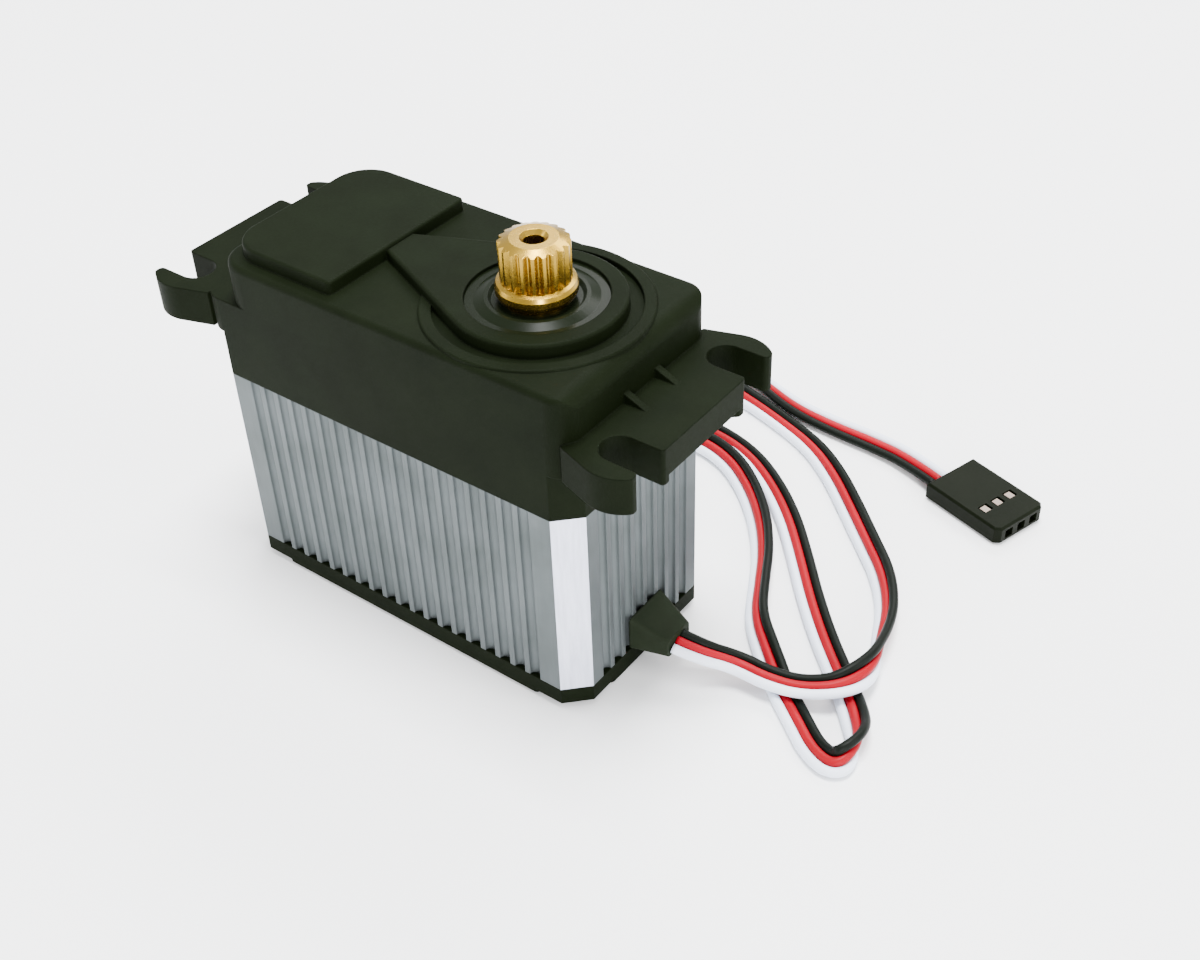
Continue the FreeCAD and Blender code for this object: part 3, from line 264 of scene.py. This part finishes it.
def finish_material(name, low, high, rough, metal=0.0, scale=900.0, bump=0.12, depth=0.00004,
                    stretch=None, edge=None, extra=None):
    """Two-tone material with uneven gloss and a fine surface grain.

    low and high are the two tones and rough is the least and greatest roughness; the grain's
    depth and the edge radius are in metres.
    """
    n = Nodes(name)
    broad = n.noise(scale * 0.06, 3.0, 0.5, stretch)
    fine = n.noise(scale, 5.0, 0.6, stretch)
    n.link(n.ramp(broad, low, high), n.shader.inputs["Base Color"])
    n.link(n.spread(fine, rough[0], rough[1]), n.shader.inputs["Roughness"])
    n.bump(fine, bump, depth, edge)
    n.set(Metallic=metal, **(extra or {}))
    return n.material


def sleeve_material():
    """Satin grey aluminium, with a painted highlight: a lighter base colour on the four corner
    flats.
    """
    n = Nodes("aluminium")
    brushed = n.noise(1800.0, 4.0, 0.6, (1.0, 1.0, 0.1))
    cloudy = n.noise(90.0, 3.0)
    anodised = n.ramp(cloudy, (0.088, 0.101, 0.102), (0.114, 0.129, 0.133))
    # Painted highlight: the corner flats get a lighter, bluer base colour that stands in for the
    # light they catch.
    corner_highlight = n.ramp(brushed, (0.58, 0.60, 0.70), (0.70, 0.72, 0.82))
    place = n.add("ShaderNodeSeparateXYZ")
    n.link(n.where, place.inputs["Vector"])
    span = []
    for axis in ("X", "Y"):
        size = n.add("ShaderNodeMath", operation="ABSOLUTE")
        n.link(place.outputs[axis], size.inputs[0])
        span.append(size.outputs[0])
    total = n.add("ShaderNodeMath", operation="ADD")
    n.link(span[0], total.inputs[0])
    n.link(span[1], total.inputs[1])
    on_flat = n.add("ShaderNodeMath", operation="GREATER_THAN")
    on_flat.inputs[1].default_value = CORNER_FLAT
    n.link(total.outputs[0], on_flat.inputs[0])
    mix = n.add("ShaderNodeMix", data_type="RGBA")
    n.link(on_flat.outputs[0], mix.inputs["Factor"])
    n.link(anodised, mix.inputs["A"])
    n.link(corner_highlight, mix.inputs["B"])
    n.link(mix.outputs["Result"], n.shader.inputs["Base Color"])
    n.link(n.spread(brushed, 0.52, 0.66), n.shader.inputs["Roughness"])
    n.bump(brushed, 0.12, 0.00004, edge=0.00025)
    n.set(Metallic=1.0)
    return n.material


def make_materials():
    f = finish_material
    return {
        "black_case_plastic": f(
            "case_plastic", (0.0022, 0.0039, 0.0008), (0.0031, 0.0052, 0.0014), (0.55, 0.7),
            scale=2600, bump=0.3, edge=0.0003, extra={"Specular_IOR_Level": 0.035}),
        "anodised_aluminium": sleeve_material(),
        "gold_steel": f(
            "gold", (0.27, 0.165, 0.016), (0.38, 0.235, 0.031), (0.2, 0.32),
            metal=1.0, scale=1500, bump=0.12, edge=0.0001),
        "brass": f(
            "brass", (0.72, 0.54, 0.22), (0.82, 0.62, 0.28), (0.2, 0.36), metal=1.0, edge=0.00005),
        "bearing_steel": f(
            "bearing_steel", (0.62, 0.63, 0.64), (0.72, 0.73, 0.74), (0.08, 0.2),
            metal=1.0, bump=0.04),
        "plain_steel": f(
            "plain_steel", (0.44, 0.44, 0.45), (0.55, 0.55, 0.56), (0.24, 0.4),
            metal=1.0, edge=0.00005),
        "black_screws": f(
            "black_oxide", (0.03, 0.03, 0.032), (0.055, 0.055, 0.06), (0.3, 0.46),
            metal=0.7, edge=0.00008),
        "glossy_seal": f(
            "glossy_seal", (0.0034, 0.0052, 0.0020), (0.0046, 0.0068, 0.0030), (0.2, 0.26),
            scale=700, bump=0.06, edge=0.0001, extra={"Specular_IOR_Level": 0.045}),
        "rubber_seal": f(
            "rubber", (0.0080, 0.0115, 0.0056), (0.0115, 0.0160, 0.0084), (0.55, 0.7),
            scale=1800, bump=0.3, edge=0.0003, extra={"Specular_IOR_Level": 0.06}),
        "magnet": f(
            "ferrite", (0.05, 0.05, 0.055), (0.08, 0.08, 0.085), (0.55, 0.75)),
        "copper": f(
            "copper", (0.55, 0.2, 0.07), (0.72, 0.3, 0.12), (0.2, 0.34),
            metal=0.9, stretch=(4.0, 4.0, 0.3), bump=0.5, depth=0.0001),
        "carbon": f(
            "carbon", (0.03, 0.03, 0.03), (0.05, 0.05, 0.052), (0.5, 0.7)),
        "nylon": f(
            "nylon", (0.68, 0.66, 0.6), (0.76, 0.74, 0.68), (0.38, 0.52)),
        "board": f(
            "solder_mask", (0.01, 0.10, 0.035), (0.016, 0.14, 0.05), (0.22, 0.34)),
        "chip": f(
            "chip", (0.015, 0.015, 0.016), (0.025, 0.025, 0.026), (0.45, 0.6)),
        "tin": f(
            "tin", (0.12, 0.095, 0.078), (0.18, 0.145, 0.122), (0.2, 0.36), metal=1.0),
        "blue_sensor": f(
            "sensor_case", (0.02, 0.07, 0.28), (0.03, 0.1, 0.36), (0.3, 0.42)),
        "connector_plastic": f(
            "connector_plastic", (0.0022, 0.0034, 0.0010), (0.0032, 0.0046, 0.0017), (0.4, 0.55),
            scale=2400, bump=0.2, edge=0.00015, extra={"Specular_IOR_Level": 0.04}),
        "white_wire": f(
            "white_vinyl", (0.68, 0.73, 0.84), (0.76, 0.81, 0.91), (0.36, 0.48),
            scale=700, bump=0.1, extra={"Specular_IOR_Level": 0.3}),
        "red_wire": f(
            "red_vinyl", (0.22, 0.0004, 0.006), (0.30, 0.0010, 0.011), (0.36, 0.48),
            scale=700, bump=0.1, extra={"Specular_IOR_Level": 0.08}),
        "black_wire": f(
            "black_vinyl", (0.0030, 0.0042, 0.0030), (0.0048, 0.0064, 0.0046), (0.36, 0.5),
            scale=700, bump=0.1, extra={"Specular_IOR_Level": 0.06}),
    }


def paint_nodes(materials):
    """Gives each part the material its record names."""
    for part in frame["record"]["subparts"]:
        thing = frame["nodes"][part["node"]]
        thing.data.materials.clear()
        thing.data.materials.append(materials[part["material_slot"]])


# ---------------------------------------------------------------- studio

LIGHT_TARGET = (0.01, 0.0, 0.02)
WHITE = (1.0, 1.0, 1.0)
LIGHTS = [                  # name, place, size, watts, colour
    ("key", (0.0, 0.08, 0.85), (0.3, 0.3), 20.0, (0.98, 0.99, 1.0)),
    ("low_right", (0.62, -0.56, 0.2), (0.16, 0.3), 7.0, WHITE),
    ("left", (-0.6, -0.4, 0.3), (0.3, 0.5), 3.0, WHITE),
    ("back", (-0.15, 0.6, 0.6), (0.6, 0.3), 7.0, WHITE),
    ("end", (0.7, 0.12, 0.4), (0.3, 0.3), 4.5, WHITE),
]
WORLD_TONE = (0.97, 0.98, 1.0, 1.0)
WORLD_STRENGTH = 1.5
FLOOR_REACH = 3.0


def add_area(name, place, target, size, energy, colour):
    data = bpy.data.lights.new(name, "AREA")
    data.shape = "RECTANGLE"
    data.size, data.size_y = size
    data.energy = energy
    data.color = colour
    light = bpy.data.objects.new(name, data)
    light.location = place
    light.rotation_euler = (Vector(target) - Vector(place)).to_track_quat("-Z", "Y").to_euler()
    bpy.context.scene.collection.objects.link(light)


def add_studio():
    world = bpy.data.worlds.new("studio")
    world.use_nodes = True
    shade = world.node_tree.nodes["Background"]
    shade.inputs["Color"].default_value = WORLD_TONE
    shade.inputs["Strength"].default_value = WORLD_STRENGTH
    bpy.context.scene.world = world
    for name, place, size, watts, colour in LIGHTS:
        add_area(name, place, LIGHT_TARGET, size, watts, colour)
    reach = FLOOR_REACH
    corners = [(-reach, -reach, 0), (reach, -reach, 0), (reach, reach, 0), (-reach, reach, 0)]
    floor = mesh_object("studio_floor", corners, [(0, 1, 2, 3)], [])
    n = Nodes("floor")
    tone = n.noise(3.0, 2.0)
    n.link(n.ramp(tone, (0.94, 0.94, 0.94), (0.96, 0.96, 0.96)), n.shader.inputs["Base Color"])
    n.set(Roughness=0.85)
    floor.data.materials.append(n.material)


# ---------------------------------------------------------------- assembly

materials = make_materials()
lead, lead_line, lead_length = lead_strands([materials["white_wire"], materials["red_wire"],
                                             materials["black_wire"]])
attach(lead, "servo_case")
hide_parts("servo_lead")
print("lead length %.1f mm" % (lead_length / MM))
paint_nodes(materials)
add_studio()
